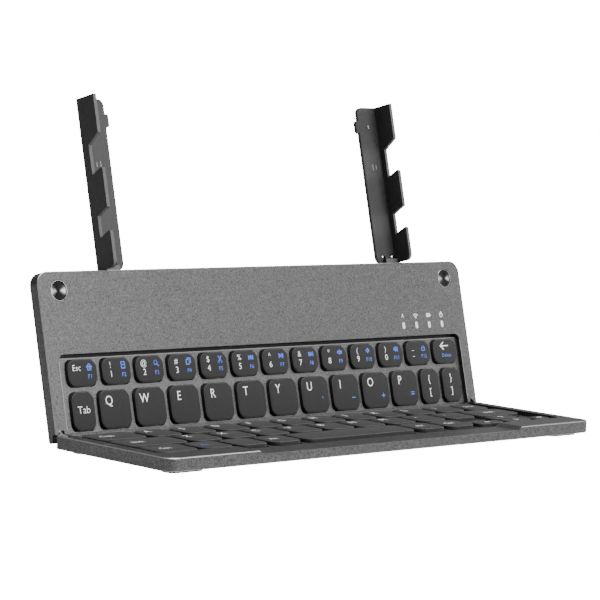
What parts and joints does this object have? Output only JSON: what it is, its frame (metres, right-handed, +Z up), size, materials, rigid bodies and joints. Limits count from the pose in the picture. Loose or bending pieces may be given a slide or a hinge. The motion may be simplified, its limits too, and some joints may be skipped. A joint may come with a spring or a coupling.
{
  "type": "folding keyboard",
  "caption": "Pocket folding keyboard of two hinged keyed panels, with toothed fold-out arms on the rear panel that carry a tablet.",
  "frame": {"origin": "centre of the bounding box's underside, on the table that the base's feet stand on, as it stands open", "axes": "+Z up from the table; +Y from the front edge of the base towards the rear panel; +X along the fold, to the typist's right"},
  "size_m": [0.25, 0.1102, 0.1437],
  "materials": {
    "anodised_aluminium": "bead-blasted, anodised dark grey",
    "cover_aluminium": "satin, anodised near black",
    "key_plate": "satin grey",
    "sheet_steel": "plain",
    "dome_rubber": "matt translucent",
    "magnet": "nickel plated",
    "magnet_cap": "turned, dark satin",
    "black_rubber": "matt",
    "screw_steel": "blackened",
    "hinge_steel": "satin",
    "arm_metal": "fine matt powder coat, dark grey",
    "circuit_board": "solder mask",
    "battery_wrap": "foil pouch",
    "socket_steel": "satin",
    "lens_plastic": "clear gloss",
    "key_plastic": "fine matt"
  },
  "bodies": {
    "base": {"base_frame": "anodised_aluminium", "base_bottom_cover": "cover_aluminium", "base_key_web": "key_plate", "base_support_plate": "sheet_steel", "base_dome_sheet": "dome_rubber", "base_magnets": "magnet", "base_feet": "black_rubber", "base_screws": "screw_steel", "base_hinge_leaves": "hinge_steel", "fold_hinge_pins": "hinge_steel"},
    "rear_panel": {"rear_frame": "anodised_aluminium", "rear_back_cover": "cover_aluminium", "rear_key_web": "key_plate", "rear_support_plate": "sheet_steel", "rear_dome_sheet": "dome_rubber", "main_board": "circuit_board", "battery": "battery_wrap", "charge_socket": "socket_steel", "indicator_lenses": "lens_plastic", "magnet_caps": "magnet_cap", "rear_feet": "black_rubber", "rear_screws": "screw_steel", "rear_hinge_leaves": "hinge_steel", "arm_hinge_brackets": "arm_metal", "arm_hinge_pins": "hinge_steel"},
    "arm_left_body": {"arm_left": "arm_metal", "arm_pad_left": "black_rubber"},
    "arm_right_body": {"arm_right": "arm_metal", "arm_pad_right": "black_rubber"},
    "body_key_esc": {"key_esc": "key_plastic"},
    "body_key_1": {"key_1": "key_plastic"},
    "body_key_2": {"key_2": "key_plastic"},
    "body_key_3": {"key_3": "key_plastic"},
    "body_key_4": {"key_4": "key_plastic"},
    "body_key_5": {"key_5": "key_plastic"},
    "body_key_6": {"key_6": "key_plastic"},
    "body_key_7": {"key_7": "key_plastic"},
    "body_key_8": {"key_8": "key_plastic"},
    "body_key_9": {"key_9": "key_plastic"},
    "body_key_0": {"key_0": "key_plastic"},
    "body_key_minus": {"key_minus": "key_plastic"},
    "body_key_backspace": {"key_backspace": "key_plastic"},
    "body_key_tab": {"key_tab": "key_plastic"},
    "body_key_q": {"key_q": "key_plastic"},
    "body_key_w": {"key_w": "key_plastic"},
    "body_key_e": {"key_e": "key_plastic"},
    "body_key_r": {"key_r": "key_plastic"},
    "body_key_t": {"key_t": "key_plastic"},
    "body_key_y": {"key_y": "key_plastic"},
    "body_key_u": {"key_u": "key_plastic"},
    "body_key_i": {"key_i": "key_plastic"},
    "body_key_o": {"key_o": "key_plastic"},
    "body_key_p": {"key_p": "key_plastic"},
    "body_key_bracket_open": {"key_bracket_open": "key_plastic"},
    "body_key_bracket_close": {"key_bracket_close": "key_plastic"},
    "body_keys_caps_row": {"keys_caps_row": "key_plastic"},
    "body_keys_shift_row": {"keys_shift_row": "key_plastic"},
    "body_keys_front_left": {"keys_front_left": "key_plastic"},
    "body_key_space": {"key_space": "key_plastic"},
    "body_keys_front_right": {"keys_front_right": "key_plastic"}
  },
  "joints": [
    {"name": "board_fold", "type": "hinge", "parent": "base", "child": "rear_panel", "pos_m": [0, 0.01303, 0.00569], "axis": [-1, 0, 0], "range_deg": [-104.5, 20]},
    {"name": "arm_left_fold", "type": "hinge", "parent": "rear_panel", "child": "arm_left_body", "pos_m": [-0.08295, 0.03728, 0.07224], "axis": [-1, 0, 0], "range_deg": [0, 178.5]},
    {"name": "arm_right_fold", "type": "hinge", "parent": "rear_panel", "child": "arm_right_body", "pos_m": [0.08295, 0.03728, 0.07224], "axis": [-1, 0, 0], "range_deg": [0, 178.5]},
    {"name": "key_esc_press", "type": "slide", "parent": "rear_panel", "child": "body_key_esc", "axis": [0, 0.9681, -0.2504], "range_m": [0, 0.0012], "stiffness_N_per_m": 400, "springref_m": -0.0003},
    {"name": "key_1_press", "type": "slide", "parent": "rear_panel", "child": "body_key_1", "axis": [0, 0.9681, -0.2504], "range_m": [0, 0.0012], "stiffness_N_per_m": 400, "springref_m": -0.0003},
    {"name": "key_2_press", "type": "slide", "parent": "rear_panel", "child": "body_key_2", "axis": [0, 0.9681, -0.2504], "range_m": [0, 0.0012], "stiffness_N_per_m": 400, "springref_m": -0.0003},
    {"name": "key_3_press", "type": "slide", "parent": "rear_panel", "child": "body_key_3", "axis": [0, 0.9681, -0.2504], "range_m": [0, 0.0012], "stiffness_N_per_m": 400, "springref_m": -0.0003},
    {"name": "key_4_press", "type": "slide", "parent": "rear_panel", "child": "body_key_4", "axis": [0, 0.9681, -0.2504], "range_m": [0, 0.0012], "stiffness_N_per_m": 400, "springref_m": -0.0003},
    {"name": "key_5_press", "type": "slide", "parent": "rear_panel", "child": "body_key_5", "axis": [0, 0.9681, -0.2504], "range_m": [0, 0.0012], "stiffness_N_per_m": 400, "springref_m": -0.0003},
    {"name": "key_6_press", "type": "slide", "parent": "rear_panel", "child": "body_key_6", "axis": [0, 0.9681, -0.2504], "range_m": [0, 0.0012], "stiffness_N_per_m": 400, "springref_m": -0.0003},
    {"name": "key_7_press", "type": "slide", "parent": "rear_panel", "child": "body_key_7", "axis": [0, 0.9681, -0.2504], "range_m": [0, 0.0012], "stiffness_N_per_m": 400, "springref_m": -0.0003},
    {"name": "key_8_press", "type": "slide", "parent": "rear_panel", "child": "body_key_8", "axis": [0, 0.9681, -0.2504], "range_m": [0, 0.0012], "stiffness_N_per_m": 400, "springref_m": -0.0003},
    {"name": "key_9_press", "type": "slide", "parent": "rear_panel", "child": "body_key_9", "axis": [0, 0.9681, -0.2504], "range_m": [0, 0.0012], "stiffness_N_per_m": 400, "springref_m": -0.0003},
    {"name": "key_0_press", "type": "slide", "parent": "rear_panel", "child": "body_key_0", "axis": [0, 0.9681, -0.2504], "range_m": [0, 0.0012], "stiffness_N_per_m": 400, "springref_m": -0.0003},
    {"name": "key_minus_press", "type": "slide", "parent": "rear_panel", "child": "body_key_minus", "axis": [0, 0.9681, -0.2504], "range_m": [0, 0.0012], "stiffness_N_per_m": 400, "springref_m": -0.0003},
    {"name": "key_backspace_press", "type": "slide", "parent": "rear_panel", "child": "body_key_backspace", "axis": [0, 0.9681, -0.2504], "range_m": [0, 0.0012], "stiffness_N_per_m": 400, "springref_m": -0.0003},
    {"name": "key_tab_press", "type": "slide", "parent": "rear_panel", "child": "body_key_tab", "axis": [0, 0.9681, -0.2504], "range_m": [0, 0.0012], "stiffness_N_per_m": 400, "springref_m": -0.0003},
    {"name": "key_q_press", "type": "slide", "parent": "rear_panel", "child": "body_key_q", "axis": [0, 0.9681, -0.2504], "range_m": [0, 0.0012], "stiffness_N_per_m": 400, "springref_m": -0.0003},
    {"name": "key_w_press", "type": "slide", "parent": "rear_panel", "child": "body_key_w", "axis": [0, 0.9681, -0.2504], "range_m": [0, 0.0012], "stiffness_N_per_m": 400, "springref_m": -0.0003},
    {"name": "key_e_press", "type": "slide", "parent": "rear_panel", "child": "body_key_e", "axis": [0, 0.9681, -0.2504], "range_m": [0, 0.0012], "stiffness_N_per_m": 400, "springref_m": -0.0003},
    {"name": "key_r_press", "type": "slide", "parent": "rear_panel", "child": "body_key_r", "axis": [0, 0.9681, -0.2504], "range_m": [0, 0.0012], "stiffness_N_per_m": 400, "springref_m": -0.0003},
    {"name": "key_t_press", "type": "slide", "parent": "rear_panel", "child": "body_key_t", "axis": [0, 0.9681, -0.2504], "range_m": [0, 0.0012], "stiffness_N_per_m": 400, "springref_m": -0.0003},
    {"name": "key_y_press", "type": "slide", "parent": "rear_panel", "child": "body_key_y", "axis": [0, 0.9681, -0.2504], "range_m": [0, 0.0012], "stiffness_N_per_m": 400, "springref_m": -0.0003},
    {"name": "key_u_press", "type": "slide", "parent": "rear_panel", "child": "body_key_u", "axis": [0, 0.9681, -0.2504], "range_m": [0, 0.0012], "stiffness_N_per_m": 400, "springref_m": -0.0003},
    {"name": "key_i_press", "type": "slide", "parent": "rear_panel", "child": "body_key_i", "axis": [0, 0.9681, -0.2504], "range_m": [0, 0.0012], "stiffness_N_per_m": 400, "springref_m": -0.0003},
    {"name": "key_o_press", "type": "slide", "parent": "rear_panel", "child": "body_key_o", "axis": [0, 0.9681, -0.2504], "range_m": [0, 0.0012], "stiffness_N_per_m": 400, "springref_m": -0.0003},
    {"name": "key_p_press", "type": "slide", "parent": "rear_panel", "child": "body_key_p", "axis": [0, 0.9681, -0.2504], "range_m": [0, 0.0012], "stiffness_N_per_m": 400, "springref_m": -0.0003},
    {"name": "key_bracket_open_press", "type": "slide", "parent": "rear_panel", "child": "body_key_bracket_open", "axis": [0, 0.9681, -0.2504], "range_m": [0, 0.0012], "stiffness_N_per_m": 400, "springref_m": -0.0003},
    {"name": "key_bracket_close_press", "type": "slide", "parent": "rear_panel", "child": "body_key_bracket_close", "axis": [0, 0.9681, -0.2504], "range_m": [0, 0.0012], "stiffness_N_per_m": 400, "springref_m": -0.0003},
    {"name": "keys_caps_row_press", "type": "slide", "parent": "base", "child": "body_keys_caps_row", "axis": [0, 0, -1], "range_m": [0, 0.0012], "stiffness_N_per_m": 1800, "springref_m": -0.0003},
    {"name": "keys_shift_row_press", "type": "slide", "parent": "base", "child": "body_keys_shift_row", "axis": [0, 0, -1], "range_m": [0, 0.0012], "stiffness_N_per_m": 1650, "springref_m": -0.0003},
    {"name": "keys_front_left_press", "type": "slide", "parent": "base", "child": "body_keys_front_left", "axis": [0, 0, -1], "range_m": [0, 0.0012], "stiffness_N_per_m": 600, "springref_m": -0.0003},
    {"name": "key_space_press", "type": "slide", "parent": "base", "child": "body_key_space", "axis": [0, 0, -1], "range_m": [0, 0.0012], "stiffness_N_per_m": 400, "springref_m": -0.0003},
    {"name": "keys_front_right_press", "type": "slide", "parent": "base", "child": "body_keys_front_right", "axis": [0, 0, -1], "range_m": [0, 0.0012], "stiffness_N_per_m": 900, "springref_m": -0.0003}
  ]
}
